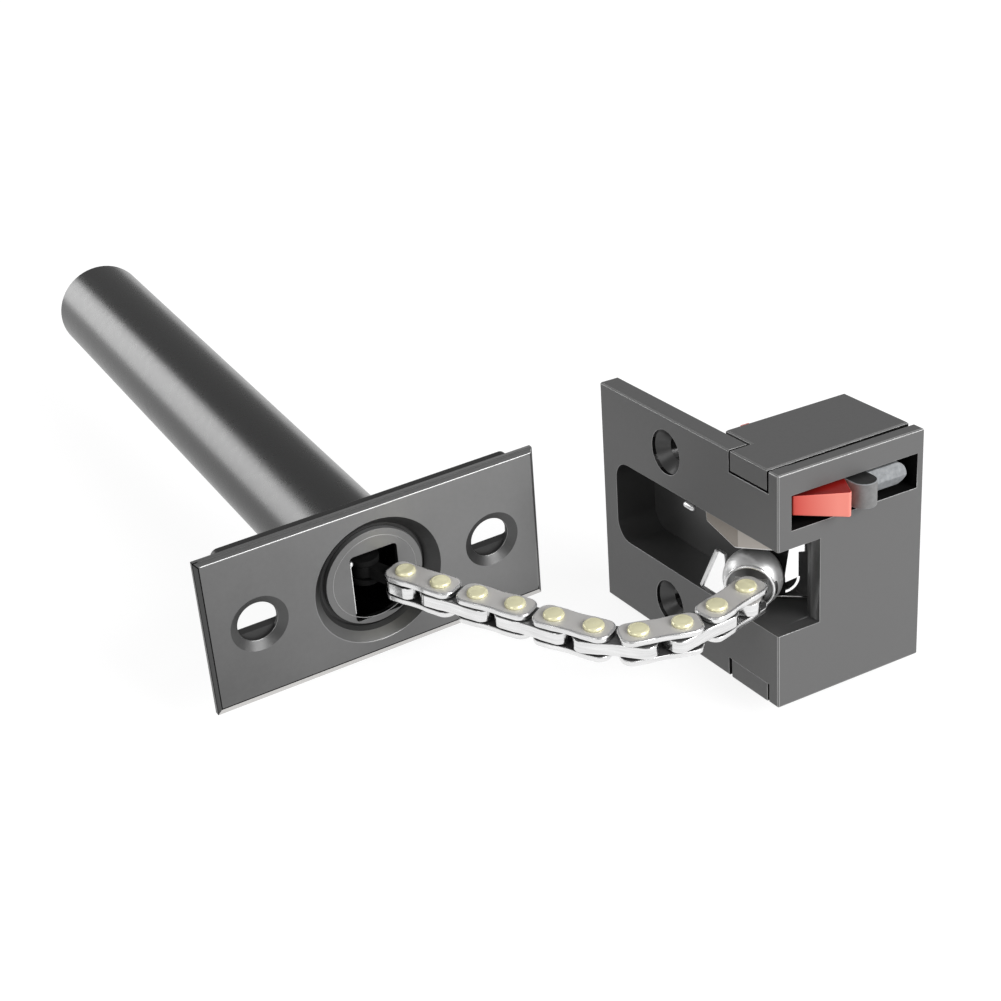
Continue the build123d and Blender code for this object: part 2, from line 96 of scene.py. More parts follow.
lens = bpy.data.cameras.new("photo_camera")
lens.sensor_width = SENSOR_MM
lens.lens = FOCAL_PIXELS / IMAGE_PIXELS * SENSOR_MM
lens.clip_start = 0.01
camera = bpy.data.objects.new("photo_camera", lens)
bpy.context.collection.objects.link(camera)
camera_turn = Matrix(camera_axes()).transposed().to_4x4()
camera.matrix_world = Matrix.Translation(CAMERA_SPOT) @ camera_turn
bpy.context.scene.camera = camera
print("camera with a", round(lens.lens, 2), "mm lens")

# %% [markdown]
# Shader sums read best as sums. Each Math node could be placed and linked by hand, but
# then three lines hide one plus sign. So a small class wraps a socket and lets plus,
# minus and times add the Math nodes.

# %% Sums on sockets


def feed(tree, slot, value):
    """Link a wire to a socket, or set a plain value on it."""
    if isinstance(value, Wire):
        tree.links.new(value.socket, slot)
    else:
        slot.default_value = value


class Wire:
    """What comes out of one socket, with the sums that are used on it."""

    def __init__(self, tree, socket):
        self.tree = tree
        self.socket = socket

    def maths(self, operation, other, flipped=False):
        node = self.tree.nodes.new("ShaderNodeMath")
        node.operation = operation
        pair = [other, self] if flipped else [self, other]
        for slot, value in zip(node.inputs, pair):
            feed(self.tree, slot, value)
        return Wire(self.tree, node.outputs[0])

    def __add__(self, other):
        return self.maths("ADD", other)

    __radd__ = __add__

    def __sub__(self, other):
        return self.maths("SUBTRACT", other)

    def __rsub__(self, other):
        return self.maths("SUBTRACT", other, flipped=True)

    def __mul__(self, other):
        return self.maths("MULTIPLY", other)

    __rmul__ = __mul__

    def clamped(self):
        return self.maths("MAXIMUM", 0.0).maths("MINIMUM", 1.0)


print("sums on sockets ready")

# %% [markdown]
# Every material ends in one Principled shader. One method places any other node: its
# settings come first, then the values or links of its sockets. All patterns read
# Object coordinates, so they stay on the metal when a piece moves.

# %% Materials built from nodes
FINE_SCALE = 900.0
COLOUR_RESULT = 2  # Mix has several results of one name, and this one is the colour


class Finish:
    """A material whose nodes are added by name, ending in one Principled shader."""

    def __init__(self, name):
        self.material = bpy.data.materials.new(name)
        self.material.use_nodes = True
        self.tree = self.material.node_tree
        self.shader = self.tree.nodes["Principled BSDF"]

    def node(self, kind, settings=None, output=0, **sockets):
        """A socket is given by its name, or as _6 by its number."""
        made = self.tree.nodes.new("ShaderNode" + kind)
        for key, value in (settings or {}).items():
            setattr(made, key, value)
        for key, value in sockets.items():
            numbered = key[1:].isdigit()
            slot = made.inputs[int(key[1:]) if numbered else key.replace("_", " ")]
            feed(self.tree, slot, value)
        return Wire(self.tree, made.outputs[output])

    def place(self):
        return self.node("TexCoord", output="Object")

    def part_of_place(self, axis):
        return self.node("SeparateXYZ", output=axis, Vector=self.place())

    def stretched(self, scale):
        return self.node("Mapping", Vector=self.place(), Scale=scale)

    def noise(self, scale, detail=3.0, rough=0.55, vector=None):
        place = vector or self.place()
        return self.node("TexNoise", Vector=place, Scale=scale, Detail=detail, Roughness=rough)

    def grain(self, scale=FINE_SCALE):
        return self.noise(scale, 2.0)

    def mix(self, factor, first, second):
        colours = {"data_type": "RGBA"}
        return self.node("Mix", colours, COLOUR_RESULT, _0=factor, _6=first, _7=second)

    def bump(self, height, strength, distance):
        return self.node("Bump", Height=height, Strength=strength, Distance=distance)

    def set(self, **sockets):
        for key, value in sockets.items():
            feed(self.tree, self.shader.inputs[key.replace("_", " ")], value)
        return self.material


def grey(level, warmth=0.0):
    return (level * (1 + warmth), level, level * (1 - warmth), 1.0)


def around(level, spread, noise):
    """A level that a noise moves up and down."""
    return ((noise - 0.5) * spread + level).clamped()


print("material helper ready")

# %% [markdown]
# The plates are plated steel with a fine satin grain: a soft grey that is a little
# uneven, because plating follows every small unevenness below it. A photograph of
# steel would show that too, but it would fit one piece only. Two noises do it for all,
# a large faint one for the tone and a fine one for the roughness and the bump.

# %% Satin metal and black gaps
CLOUD_SCALE = 60.0
GLOSS_SPREAD = 0.12
GRAIN_DEPTH = 0.02 * MM


def satin_metal(name, level, roughness, metallic,
                scale=FINE_SCALE, spread=0.08, relief=0.25, warmth=0.0):
    finish = Finish(name)
    cloud = finish.grain(CLOUD_SCALE)
    fine = finish.grain(scale)
    shade = (cloud - 0.5) * spread * 2 + (fine - 0.5) * spread + 0.5
    low, high = grey(level * (1 - spread), warmth), grey(level * (1 + spread), warmth)
    return finish.set(
        Base_Color=finish.mix(shade.clamped(), low, high),
        Metallic=metallic,
        Roughness=around(roughness, GLOSS_SPREAD, fine),
        Normal=finish.bump(fine, relief, GRAIN_DEPTH),
    )


def unlit_black(name, level):
    """Painted shade for gaps and hidden rooms, with hardly any gloss."""
    finish = Finish(name)
    fine = finish.grain()
    return finish.set(
        Base_Color=finish.mix(fine, grey(level * 0.6), grey(level * 1.4)),
        Roughness=(fine * 0.2 + 0.6).clamped(),
        Specular_IOR_Level=0.1,
    )


print("satin metal and gap paint ready")

# %% [markdown]
# The face plate is not one even grey. A painted light makes it lighter towards the
# upper right end, its thin edge lines carry a painted highlight above and painted shade
# below, and its dish a painted highlight at the lower left. More lamps could do that,
# but they would spoil the keeper, so this light and shade are painted: Object
# coordinates give the place, and a Mix node the tone.

# %% Finishes of the face plate
PAINTED_LIGHT_RIGHT, PAINTED_LIGHT_UP = 11.0, 9.0  # how fast the painted light grows, per metre
DISH_LEFT, DISH_DOWN = 41.7, 62.9  # their sum is 1 at the dish's lower left
FOOT_LINE_Z, LEFT_LINE_X = 15.0 * MM, 34.1 * MM


def plate_with_painted_light():
    finish = Finish("plate_satin")
    fine = finish.grain()
    cloud = finish.grain(CLOUD_SCALE)
    right, up = finish.part_of_place("X"), finish.part_of_place("Z")
    # Painted light: the plate gets lighter towards its upper right end
    light_towards_upper_right = (right * PAINTED_LIGHT_RIGHT + up * PAINTED_LIGHT_UP + 0.5).clamped()
    shade = light_towards_upper_right * 0.8 + (cloud - 0.5) * 0.3 + (fine - 0.5) * 0.15 + 0.1
    return finish.set(
        Base_Color=finish.mix(shade.clamped(), grey(0.098), grey(0.255)),
        Metallic=0.35,
        Roughness=around(0.42, GLOSS_SPREAD, fine),
        Normal=finish.bump(fine, 0.25, GRAIN_DEPTH),
    )


def dish_painted_light():
    """Painted highlight on the dish's wall at its lower left, painted shade elsewhere."""
    finish = Finish("dish_steel")
    fine = finish.grain()
    right, up = finish.part_of_place("X"), finish.part_of_place("Z")
    lower_left = right * -DISH_LEFT + up * -DISH_DOWN
    return finish.set(
        Base_Color=finish.mix((lower_left * 1.6 - 0.5).clamped(), grey(0.045), grey(0.30)),
        Metallic=0.75,
        Roughness=around(0.34, GLOSS_SPREAD, fine),
        Normal=finish.bump(fine, 0.1, GRAIN_DEPTH),
    )


def plate_edge_line():
    """Painted highlight at the top and right, near-black painted shade at the left and foot."""
    finish = Finish("plate_line")
    fine = finish.grain()
    above = ((finish.part_of_place("Z") + FOOT_LINE_Z) * 1500.0).clamped()
    inwards = ((finish.part_of_place("X") + LEFT_LINE_X) * 2000.0).clamped()
    return finish.set(
        Base_Color=finish.mix(above * inwards, grey(0.006), grey(0.26)),
        Metallic=0.9,
        Roughness=around(0.32, GLOSS_SPREAD, fine),
        Normal=finish.bump(fine, 0.1, GRAIN_DEPTH),
    )


plate_satin = plate_with_painted_light()
# Painted highlight on the lower bevel, painted shade on the other bevels
plate_bevel_highlight = satin_metal("plate_bevel_highlight", 0.58, 0.28, 0.9, relief=0.1, warmth=0.02)
plate_shade = satin_metal("plate_shade", 0.06, 0.40, 0.3)
# Painted shade: darker finishes for the countersinks, the recesses and the window; the dish's also has a painted
# highlight
sink_steel = satin_metal("sink_steel", 0.085, 0.42, 0.75, relief=0.3)
dish_steel = dish_painted_light()
plate_line = plate_edge_line()
dark_recess = satin_metal("dark_recess", 0.035, 0.45, 0.3)
window_black = unlit_black("window_black", 0.008)
print("face plate's finishes ready")

# %% [markdown]
# The tube is drawn through a die, so it has no grain to speak of and mirrors the room.
# Its colour is dark, and a painted shade makes it darker still along its lower left side.

# %% Drawn steel of the tube
ACROSS_RIGHT, ACROSS_UP = 80.0, 49.0  # their sum goes from -1 to 1 across the tube


def drawn_tube():
    finish = Finish("tube_drawn_steel")
    fine = finish.grain(500.0)
    right, up = finish.part_of_place("X"), finish.part_of_place("Z")
    # Painted shade: across runs over the tube, and the base colour darkens towards its lower left side
    across = right * ACROSS_RIGHT + up * ACROSS_UP
    return finish.set(
        Base_Color=finish.mix(((across + 0.9) * 1.15).clamped(), grey(0.022), grey(0.135)),
        Metallic=1.0,
        Roughness=around(0.28, 0.08, fine),
        Normal=finish.bump(fine, 0.01, GRAIN_DEPTH / 2),
    )


tube_drawn_steel = drawn_tube()
print("tube's finish ready")

# %% [markdown]
# The other metals differ only in how light, how rough and how metallic they are, so
# they all come from the satin metal above: the keeper's grey paint and the lighter
# lines of painted highlight on its edges, the chain's tops, the ball, and the latch steel
# with its coarser specks. Several are darker or lighter copies that are painted shade or
# painted light: the keeper's inside and holes, the tops of the blocks and of the lower
# plates, the ball's mouth, and the two halves of the latch sheet with its pale edge line.

# %% Finishes of the keeper, the chain and the latch
keeper_paint = satin_metal("keeper_paint", 0.13, 0.46, 0.2, scale=1400.0)
# Painted highlight along the keeper's edges
keeper_line = satin_metal("keeper_line", 0.34, 0.36, 0.5)
# Painted shade: dark steel in the keeper's screw holes, and the keeper's inside
hole_steel = satin_metal("hole_steel", 0.06, 0.20, 0.9, relief=0.1)
keeper_inside = satin_metal("keeper_inside", 0.078, 0.34, 0.3, relief=0.1)
gap_black = unlit_black("gap_black", 0.004)
satin_top = satin_metal("satin_top", 0.70, 0.45, 0.5, spread=0.05, warmth=0.02)
# Painted shade on the blocks' tops and the lower plates' tops
block_top = satin_metal("block_top", 0.22, 0.40, 0.8)
link_shade = satin_metal("link_shade", 0.10, 0.45, 0.6)
turned_ball_steel = satin_metal("turned_ball_steel", 0.74, 0.42, 0.85, relief=0.1)
# Painted shade inside the ball's mouth
mouth_steel = satin_metal("mouth_steel", 0.20, 0.35, 0.8)
rim_steel = satin_metal("rim_steel", 0.80, 0.28, 0.85, relief=0.1)
# Painted light and shade on the two halves of the bent latch sheet
latch_left = satin_metal("latch_left", 0.27, 0.36, 0.6, scale=2200.0, spread=0.28, warmth=0.12)
latch_right = satin_metal("latch_right", 0.46, 0.36, 0.5, scale=2200.0, spread=0.20, warmth=0.08)
mirror_steel = satin_metal("mirror_steel", 0.95, 0.10, 1.0, spread=0.03)
# Painted highlight on the gate's cut edge; also the latch pin's bright steel
white_steel = satin_metal("white_steel", 0.90, 0.30, 0.6, spread=0.02)
print("finishes of the keeper, the chain and the latch ready")

# %% [markdown]
# The cut sides of the links were rolled and tumbled, so they carry faint streaks that
# run level along each link. A wave pattern would look too even. A noise squeezed in
# height gives such streaks: its Mapping node makes it change quickly upwards and
# slowly along.

# %% Streaked steel of the link sides
STREAK_DEPTH = 0.04 * MM


def streaked_steel(name, level, roughness, spread):
    finish = Finish(name)
    streak = finish.noise(150.0, vector=finish.stretched((1.0, 1.0, 14.0)))
    patch = finish.grain(240.0)
    shade = (streak * 0.75 + patch * 0.25 - 0.5) * 1.6 + 0.5
    low, high = grey(level * (1 - spread)), grey(level * (1 + spread))
    return finish.set(
        Base_Color=finish.mix(shade.clamped(), low, high),
        Metallic=1.0,
        Roughness=around(roughness, 0.3, streak),
        Normal=finish.bump(streak, 0.35, STREAK_DEPTH),
    )


link_side_steel = streaked_steel("link_side_steel", 0.74, 0.17, 0.20)
print("link sides ready")

# %% [markdown]
# Brass rivets are pale and a little dull on top, where the hammer or the press spread
# them. The thumb wing is a glossy red moulding, the other wing a speckled pale one, and
# the grip a dark grey one. Each has a fine grain, so no surface is one flat colour.

# %% Brass and plastics
MOULD_SCALE = 1200.0
MOULD_DEPTH = 0.03 * MM
RED_LEFT_X, RED_LENGTH = 58.0 * MM, 8.0 * MM


def brass():
    finish = Finish("pressed_brass")
    fine = finish.noise(FINE_SCALE)
    return finish.set(
        Base_Color=finish.mix(fine, (0.99, 0.94, 0.60, 1), (1.0, 0.97, 0.68, 1)),
        Metallic=0.38,
        Roughness=around(0.24, 0.15, fine),
        Normal=finish.bump(fine, 0.04, GRAIN_DEPTH / 2),
    )


def plastic(name, dark, light, roughness, patches):
    finish = Finish(name)
    fine = finish.noise(MOULD_SCALE)
    return finish.set(
        Base_Color=finish.mix(finish.noise(patches), dark, light),
        Roughness=around(roughness, 0.15, fine),
        Normal=finish.bump(fine, 0.2, MOULD_DEPTH),
    )


def red_with_painted_light(name, left, right, roughness):
    """Painted light: the moulding is darker at its left end and paler towards its right."""
    finish = Finish(name)
    fine = finish.noise(MOULD_SCALE)
    along = ((finish.part_of_place("X") - RED_LEFT_X) * (1 / RED_LENGTH)).clamped()
    return finish.set(
        Base_Color=finish.mix(along, left, right),
        Roughness=around(roughness, 0.15, fine),
        Normal=finish.bump(fine, 0.1, MOULD_DEPTH),
    )


pressed_brass = brass()
# Painted light along the thumb wing, and painted shade for its top
thumb_red_moulding = red_with_painted_light(
    "thumb_red_moulding", (0.62, 0.035, 0.022, 1), (0.90, 0.27, 0.215, 1), 0.34)
red_shade = red_with_painted_light("red_shade", (0.05, 0.002, 0.002, 1), (0.30, 0.010, 0.007, 1), 0.45)
pale_moulding = plastic("pale_moulding", grey(0.13, -0.04), grey(0.42, -0.04), 0.5, 1100.0)
grip_moulding = plastic("grip_moulding", grey(0.12), grey(0.25), 0.45, 1000.0)
grip_dark = plastic("grip_dark", grey(0.006), grey(0.035), 0.5, 900.0)
print("brass and plastics ready")

# %% [markdown]
# Each solid of the frame is a loose set of triangles. A copy of it is merged, and its
# flat parts are joined into single faces. A bevel in edit mode would need every edge
# picked by hand, so a Bevel modifier does it by weight: one for all edges that are
# sharp, or what a rule gives. Weighted normals then keep the large faces flat, and only
# the strips look round. A rule may also give each face its finish, and the strip that
# the bevel makes can have its own; where that is lighter, it is a painted highlight.

# %% Copies with marked edges
SHARP = math.radians(28)
SAME_SPOT = 0.002 * MM
SAME_PLANE = math.radians(0.8)


def copy_of(node):
    mesh = frame["nodes"][node].data.copy()
    made = bmesh.new()
    made.from_mesh(mesh)
    bpy.data.meshes.remove(mesh)
    bmesh.ops.remove_doubles(made, verts=made.verts, dist=SAME_SPOT)
    bmesh.ops.dissolve_limit(made, angle_limit=SAME_PLANE, verts=made.verts, edges=made.edges)
    return made


def mark_edges(made, share):
    weight = made.edges.layers.float.new("bevel_weight_edge")
    for edge in made.edges:
        if len(edge.link_faces) == 2 and edge.calc_face_angle(0.0) > SHARP:
            middle = (edge.verts[0].co + edge.verts[1].co) / 2 / MM
            edge[weight] = share(middle) if share else 1.0
            edge.smooth = edge[weight] > 0.0


def body_of(node):
    for body, nodes in frame["record"]["behaviour"]["bodies"].items():
        if node in nodes:
            return body
    raise KeyError(node)


print("edges over", round(math.degrees(SHARP)), "degrees count as sharp")

# %% [markdown]
# Two kinds of piece are made from here on. A softened piece stands in for a solid and
# rides where it rode. An added piece is the scene's own, and rides with the solid that
# it sits on.

# %% Softened and added pieces
FACE_WEIGHT = 90


def as_piece(made, name, materials, finish_rule=None):
    """The rule gives one of the materials, from a face's middle and the way it looks."""
    for face in made.faces:
        face.smooth = True
        if finish_rule:
            finish = finish_rule(face.calc_center_median() / MM, face.normal)
            face.material_index = materials.index(finish)
    mesh = bpy.data.meshes.new(name)
    made.to_mesh(mesh)
    made.free()
    for material in materials:
        mesh.materials.append(material)
    piece = bpy.data.objects.new(name, mesh)
    bpy.context.collection.objects.link(piece)
    return piece


def softened(node, width_mm, materials, finish_rule=None,
             edge_finish=None, segments=2, share=None, reshape=None):
    """share gives each sharp edge's part of the width, and reshape moves points first."""
    made = copy_of(node)
    if reshape:
        reshape(made)
    mark_edges(made, share)
    piece = as_piece(made, node + "_soft", materials, finish_rule)
    rounding = piece.modifiers.new("edge", "BEVEL")
    rounding.width = width_mm * MM
    rounding.segments = segments
    rounding.limit_method = "WEIGHT"
    rounding.material = -1 if edge_finish is None else materials.index(edge_finish)
    flat = piece.modifiers.new("flat_faces", "WEIGHTED_NORMAL")
    flat.keep_sharp = True
    flat.weight = FACE_WEIGHT
    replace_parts(piece, node)
    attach(piece, body_of(node))
    return piece


def added(made, name, materials, beside):
    piece = as_piece(made, name, materials)
    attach(piece, body_of(beside))
    return piece


print("piece makers ready")

# %% [markdown]
# Round things are turned, as on a lathe. A cylinder or a sphere could be cut and scaled,
# but a section says more: a few points give half of it, from the axis out, and a full
# spin about the axis makes the skin. The doubled points on the axis are merged first,
# and then the normals are made to point outwards.

# %% Turning a section
SAME_POINT = 0.001 * MM


def turned(section, centre, axis, across, steps, closed=False):
    """section holds pairs: distance along the axis, and distance from it, in millimetres."""
    made = bmesh.new()
    axis = Vector(axis).normalized()
    across = Vector(across).normalized()
    centre = Vector(centre)
    points = [made.verts.new((centre + axis * a + across * r) * MM) for a, r in section]
    pairs = list(zip(points, points[1:])) + ([(points[-1], points[0])] if closed else [])
    lines = [made.edges.new(pair) for pair in pairs]
    bmesh.ops.spin(made, geom=points + lines, cent=centre * MM, axis=axis,
                   angle=2 * math.pi, steps=steps, use_merge=True)
    bmesh.ops.remove_doubles(made, verts=made.verts, dist=SAME_POINT)
    bmesh.ops.recalc_face_normals(made, faces=made.faces)
    return made


print("lathe ready")

# %% [markdown]
# The door unit: two flat plates, a disc in a dish, and the tube. The front plate's
# lower bevel has a painted highlight, a bright finish that mirrors the white table.
# The other bevels face the dim room, and have painted shade. Inside the dish and the
# screw holes little light gets in, so those faces have darker finishes as painted shade,
# with a painted highlight at the dish's lower left. Each face's own middle tells which
# of these it is, which is quicker than picking faces by hand.

# %% Face plate
SCREW_X = 24.5
DISH_R = 13.2
SCREW_HOLE_R = 4.0
SCREW_SINK_R = 5.75
FACES_FRONT = 0.98
HOLE_FLOOR_Y = 1.3
LOWER_EDGE_Z = -15.5
RIM_DEEP = 0.8
RIM_SHARE = 0.8


def face_finish(spot, normal):
    from_middle = math.hypot(spot.x, spot.z)
    from_screw = math.hypot(abs(spot.x) - SCREW_X, spot.z)
    flat = abs(normal.y) >= FACES_FRONT
    # The dish's wall gets painted shade with a painted highlight at its lower left
    if from_middle < DISH_R + 0.2:
        return plate_satin if flat else dish_steel
    # Painted shade on the walls of the screw holes and the countersinks
    if from_screw < SCREW_HOLE_R + 0.1 and not flat:
        return dark_recess
    if from_screw < SCREW_SINK_R + 0.2 and not flat:
        return sink_steel
    # Painted highlight on the downward lower bevel, painted shade on the other bevels
    if from_screw > SCREW_SINK_R + 0.2 and not flat and abs(normal.y) > 0.3:
        return plate_bevel_highlight if normal.z < -0.1 else plate_shade
    return plate_satin


def low_bevel(made):
    # The lower bevel is made longer and flatter than the other three, so its painted highlight is a wider band
    for vert in made.verts:
        low, behind_front = vert.co.z / MM < LOWER_EDGE_Z, vert.co.y / MM
        if low and abs(behind_front) < 0.01:
            vert.co.z += 0.5 * MM
        elif low and abs(behind_front - RIM_DEEP) < 0.01:
            vert.co.y -= 0.35 * MM


def face_share(spot):
    from_middle = math.hypot(spot.x, spot.z)
    if from_middle < DISH_R + 0.3:
        # The dish's rim is rounded towards its lower left only, where its light strip is a painted highlight
        lower_left = (-0.55 * spot.x - 0.83 * spot.z) / from_middle
        return max(0.0, lower_left) if from_middle > DISH_R - 0.3 else 0.0
    from_screw = math.hypot(abs(spot.x) - SCREW_X, spot.z)
    if from_screw < SCREW_SINK_R + 0.3:
        return 0.6 if from_screw < SCREW_HOLE_R + 0.1 and spot.y < HOLE_FLOOR_Y else 0.0
    if spot.z < -15.0:
        # Of the foot's edges, only the long one at the very front is rounded
        return RIM_SHARE if abs(spot.x) < 1.0 and abs(spot.y) < 0.1 else 0.0
    return RIM_SHARE


PLATE_FINISHES = [plate_satin, plate_line, dark_recess, plate_bevel_highlight, plate_shade,
                  sink_steel, dish_steel]
softened("face_plate", 0.16, PLATE_FINISHES, face_finish,
         edge_finish=plate_line, share=face_share, reshape=low_bevel)
print("face plate dressed with", len(PLATE_FINISHES), "finishes")

# %% [markdown]
# The backing plate shows only as a dark line behind the front one, and through the
# screw holes, so all of it gets a dark finish as painted shade. The guide disc sits in
# the dish, and the walls of its window are painted black as shade. A shallow turned
# line runs round its front. It could be a groove, but a thin ring that stands out by a
# hair catches the light on one side just as well, and leaves the disc whole.

# %% Backing plate and guide disc
GUIDE_WINDOW = Vector((0.17, 0, -1.5))
SLOT_HALF_HIGH = 3.3
LOWER_SLOT_END, UPPER_SLOT_END = 0.66, 1.3


def disc_finish(spot, normal):
    off = spot - GUIDE_WINDOW
    # Painted shade: the walls of the window are black
    in_window = abs(off.x) < 5.0 and abs(off.z) < 7.3 and abs(normal.y) < 0.9
    return window_black if in_window else plate_satin


def disc_ring():
    section = [(0.02, 8.62), (-0.05, 8.68), (-0.05, 8.78), (0.02, 8.84)]
    return turned(section, (0, 1.7, 0), (0, 1, 0), (1, 0, 0), 64, closed=True)


def backing_share(spot):
    return 1.0 if abs(spot.x) > 30 or abs(spot.z) > 15 else 0.0


def raised_slots(made):
    # The slot behind each screw hole is seen to start and end a little higher
    for vert in made.verts:
        if abs(vert.co.x) / MM > 18 and abs(vert.co.z) / MM < SLOT_HALF_HIGH:
            vert.co.z *= LOWER_SLOT_END if vert.co.z < 0 else UPPER_SLOT_END


softened("backing_plate", 0.12, [dark_recess], share=backing_share, reshape=raised_slots)
softened("guide_disc", 0.10, [plate_satin, window_black], disc_finish)
added(disc_ring(), "disc_turned_line", [keeper_line], "guide_disc")
print("backing plate and guide disc dressed")

# %% [markdown]
# At the left of the disc's window a thin bright line runs down from a bright spot. It is
# read here as a leaf with a rolled tip, whose bright steel also stands in for a painted
# highlight along the window's left edge: a flat bar with bevelled edges for the leaf, and
# a small turned bead for the tip. A bent strip could be one mesh, but two simple shapes
# look the same at this size.

# %% Leaf in the disc's window
LEAF_SIZE = Vector((0.22, 0.7, 10.5)) * MM
LEAF_MIDDLE = Vector((-4.62, 2.2, -1.6)) * MM
LEAF_TIP = (-4.45, 2.1, 3.6)


def window_leaf():
    tip = [(0.0, 0.0), (0.10, 0.30), (0.40, 0.48), (0.75, 0.48), (1.05, 0.30), (1.15, 0.0)]
    made = turned(tip, LEAF_TIP, (0, 0, 1), (1, 0, 0), 20)
    leaf = bmesh.ops.create_cube(made, size=1.0)["verts"]
    bmesh.ops.scale(made, verts=leaf, vec=LEAF_SIZE)
    bmesh.ops.translate(made, verts=leaf, vec=LEAF_MIDDLE)
    edges = list({edge for vert in leaf for edge in vert.link_edges})
    bmesh.ops.bevel(made, geom=edges, offset=0.06 * MM, affect="EDGES",
                    segments=2, profile=0.5, material=-1)
    bmesh.ops.recalc_face_normals(made, faces=made.faces)
    return made


# A bright leaf, partly a painted highlight of the window's left edge
added(window_leaf(), "window_leaf_spring_highlight", [rim_steel], "guide_disc")
print("leaf", round(LEAF_SIZE.z / MM, 1), "mm long added")

# %% [markdown]
# The tube is drawn steel. It is nearly a mirror, so what it shows is the room: a white
# panel stands behind it on the left, and its reflection is the long light stripe. Only
# its ends have edges to soften. The plug and its pin are out of sight in the tube, and
# are painted black as shade.

# %% Tube and what slides in it
softened("tube", 0.15, [tube_drawn_steel])
softened("tube_end_cap", 0.12, [tube_drawn_steel])
softened("tail_plug", 0.2, [window_black])
softened("tail_pin", 0.1, [window_black])
print("tube dressed")

# %% [markdown]
# The chain: each outer plate is blanked from sheet, so its top is satin and its cut
# edge, tumbled with the others, is bright. Two materials could be laid on by hand, but
# the split follows the way each face looks: up or down is satin, sideways is bright.
# The tops of the blocks and of the lower plates lie under the upper plates, so they get
# darker finishes as painted shade. The first block's neck runs back into the dark of
# the window, so it is painted dark too, as shade.

# %% Chain blocks and plates
PINS = [
    Vector(joint["pos_m"]) / MM
    for joint in frame["joints"] if joint["name"].startswith("pin_")
]
LINKS = range(1, 6)
EYE_R = 4.4
print("pins at", [tuple(round(c, 1) for c in pin) for pin in PINS])


def by_way(flat_finish):
    """A rule that gives the flat finish to faces that look up or down."""
    def finish_of(spot, normal):
        return flat_finish if abs(normal.z) > 0.9 else link_side_steel
    return finish_of


# Painted shade: the neck inside the window is black
def neck_finish(spot, normal):
    if (spot - PINS[1]).length > EYE_R and spot.y > PINS[1].y:
        return window_black
    return by_way(block_top)(spot, normal)


softened("chain_block_1", 0.22, [link_side_steel, block_top, window_black], neck_finish)
# The blocks' tops get block_top and the lower plates' tops link_shade, both painted shade
for number in LINKS:
    if number > 1:
        softened(f"chain_block_{number}", 0.22, [link_side_steel, block_top], by_way(block_top))
    for side, width, flat_finish in (("top", 0.20, satin_top), ("bottom", 0.14, link_shade)):
        softened(f"link_{side}_{number}", width, [link_side_steel, flat_finish, rim_steel],
                 by_way(flat_finish), edge_finish=rim_steel)
print("chain plates of", len(LINKS), "links dressed")

# %% [markdown]
# Each rivet is a brass pin with two pressed heads. A cylinder with bevelled ends has no
# head, so it is turned from one section: up the lower head, along the shank, and over
# the upper head, whose rim is rounded and whose flat top has a faint turned ring. Both
# heads sit tight on their plates.

# %% Rivets
RIVET_R = 1.2
HEAD_R = 1.95
PLATE_HIGH = 2.65
HEAD_TOP = 3.45


def rivet_section():
    upper = [
        (HEAD_TOP - 0.02, 0.0),
        (HEAD_TOP, 1.15),
        (HEAD_TOP - 0.04, 1.28),
        (HEAD_TOP - 0.01, 1.40),
        (HEAD_TOP - 0.07, HEAD_R - 0.28),
        (HEAD_TOP - 0.22, HEAD_R - 0.09),
        (HEAD_TOP - 0.42, HEAD_R),
        (PLATE_HIGH + 0.01, HEAD_R),
        (PLATE_HIGH + 0.01, RIVET_R),
    ]
    lower = [(-a, r) for a, r in reversed(upper)]
    return upper + lower


def two_rivets(number):
    made = bmesh.new()
    for pin in (PINS[2 * number - 1], PINS[2 * number]):
        one = turned(rivet_section(), pin, (0, 0, 1), (1, 0, 0), 40)
        mesh = bpy.data.meshes.new("one_rivet")
        one.to_mesh(mesh)
        one.free()
        made.from_mesh(mesh)
        bpy.data.meshes.remove(mesh)
    return made


for number in LINKS:
    node = f"link_rivets_{number}"
    rivets = added(two_rivets(number), f"brass_rivets_{number}", [pressed_brass], node)
    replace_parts(rivets, node)
print("brass rivets turned:", 2 * len(LINKS))

# %% [markdown]
# The ball is turned steel with a round mouth, and the lug that holds the last rivet
# comes out of it. A rolled rim, brighter than the rest, runs round the mouth. It could
# be a torus, but a turned section follows the ball's own curve on its outer side.

# %% Ball head
BALL_CENTRE = Vector((57.1624, -39.6074, 0))
LUG_HEADING = math.radians(43.2)
LUG_WAY = Vector((math.cos(LUG_HEADING), math.sin(LUG_HEADING), 0))
LUG_HALF_THICK = 1.4
BALL_R = 5.6
MOUTH_R = 4.25


def ball_finish(spot, normal):
    out = spot - BALL_CENTRE
    if abs(out.z) < LUG_HALF_THICK and out.dot(LUG_WAY) < -2.4:
        return satin_top if abs(normal.z) > 0.9 else link_side_steel
    # Painted shade: the inside of the mouth gets the darker mouth steel
    return turned_ball_steel if out.length > BALL_R - 0.12 else mouth_steel


def mouth_rim():
    depth = -math.sqrt(BALL_R**2 - MOUTH_R**2)
    section = [
        (depth + 0.30, MOUTH_R - 0.02),
        (depth - 0.02, MOUTH_R - 0.02),
        (depth - 0.16, MOUTH_R + 0.14),
        (depth - 0.14, MOUTH_R + 0.36),
        (depth + 0.08, MOUTH_R + 0.52),
        (depth + 0.36, MOUTH_R + 0.50),
        (depth + 0.60, MOUTH_R + 0.20),
    ]
    return turned(section, BALL_CENTRE, LUG_WAY, (0, 0, 1), 48, closed=True)


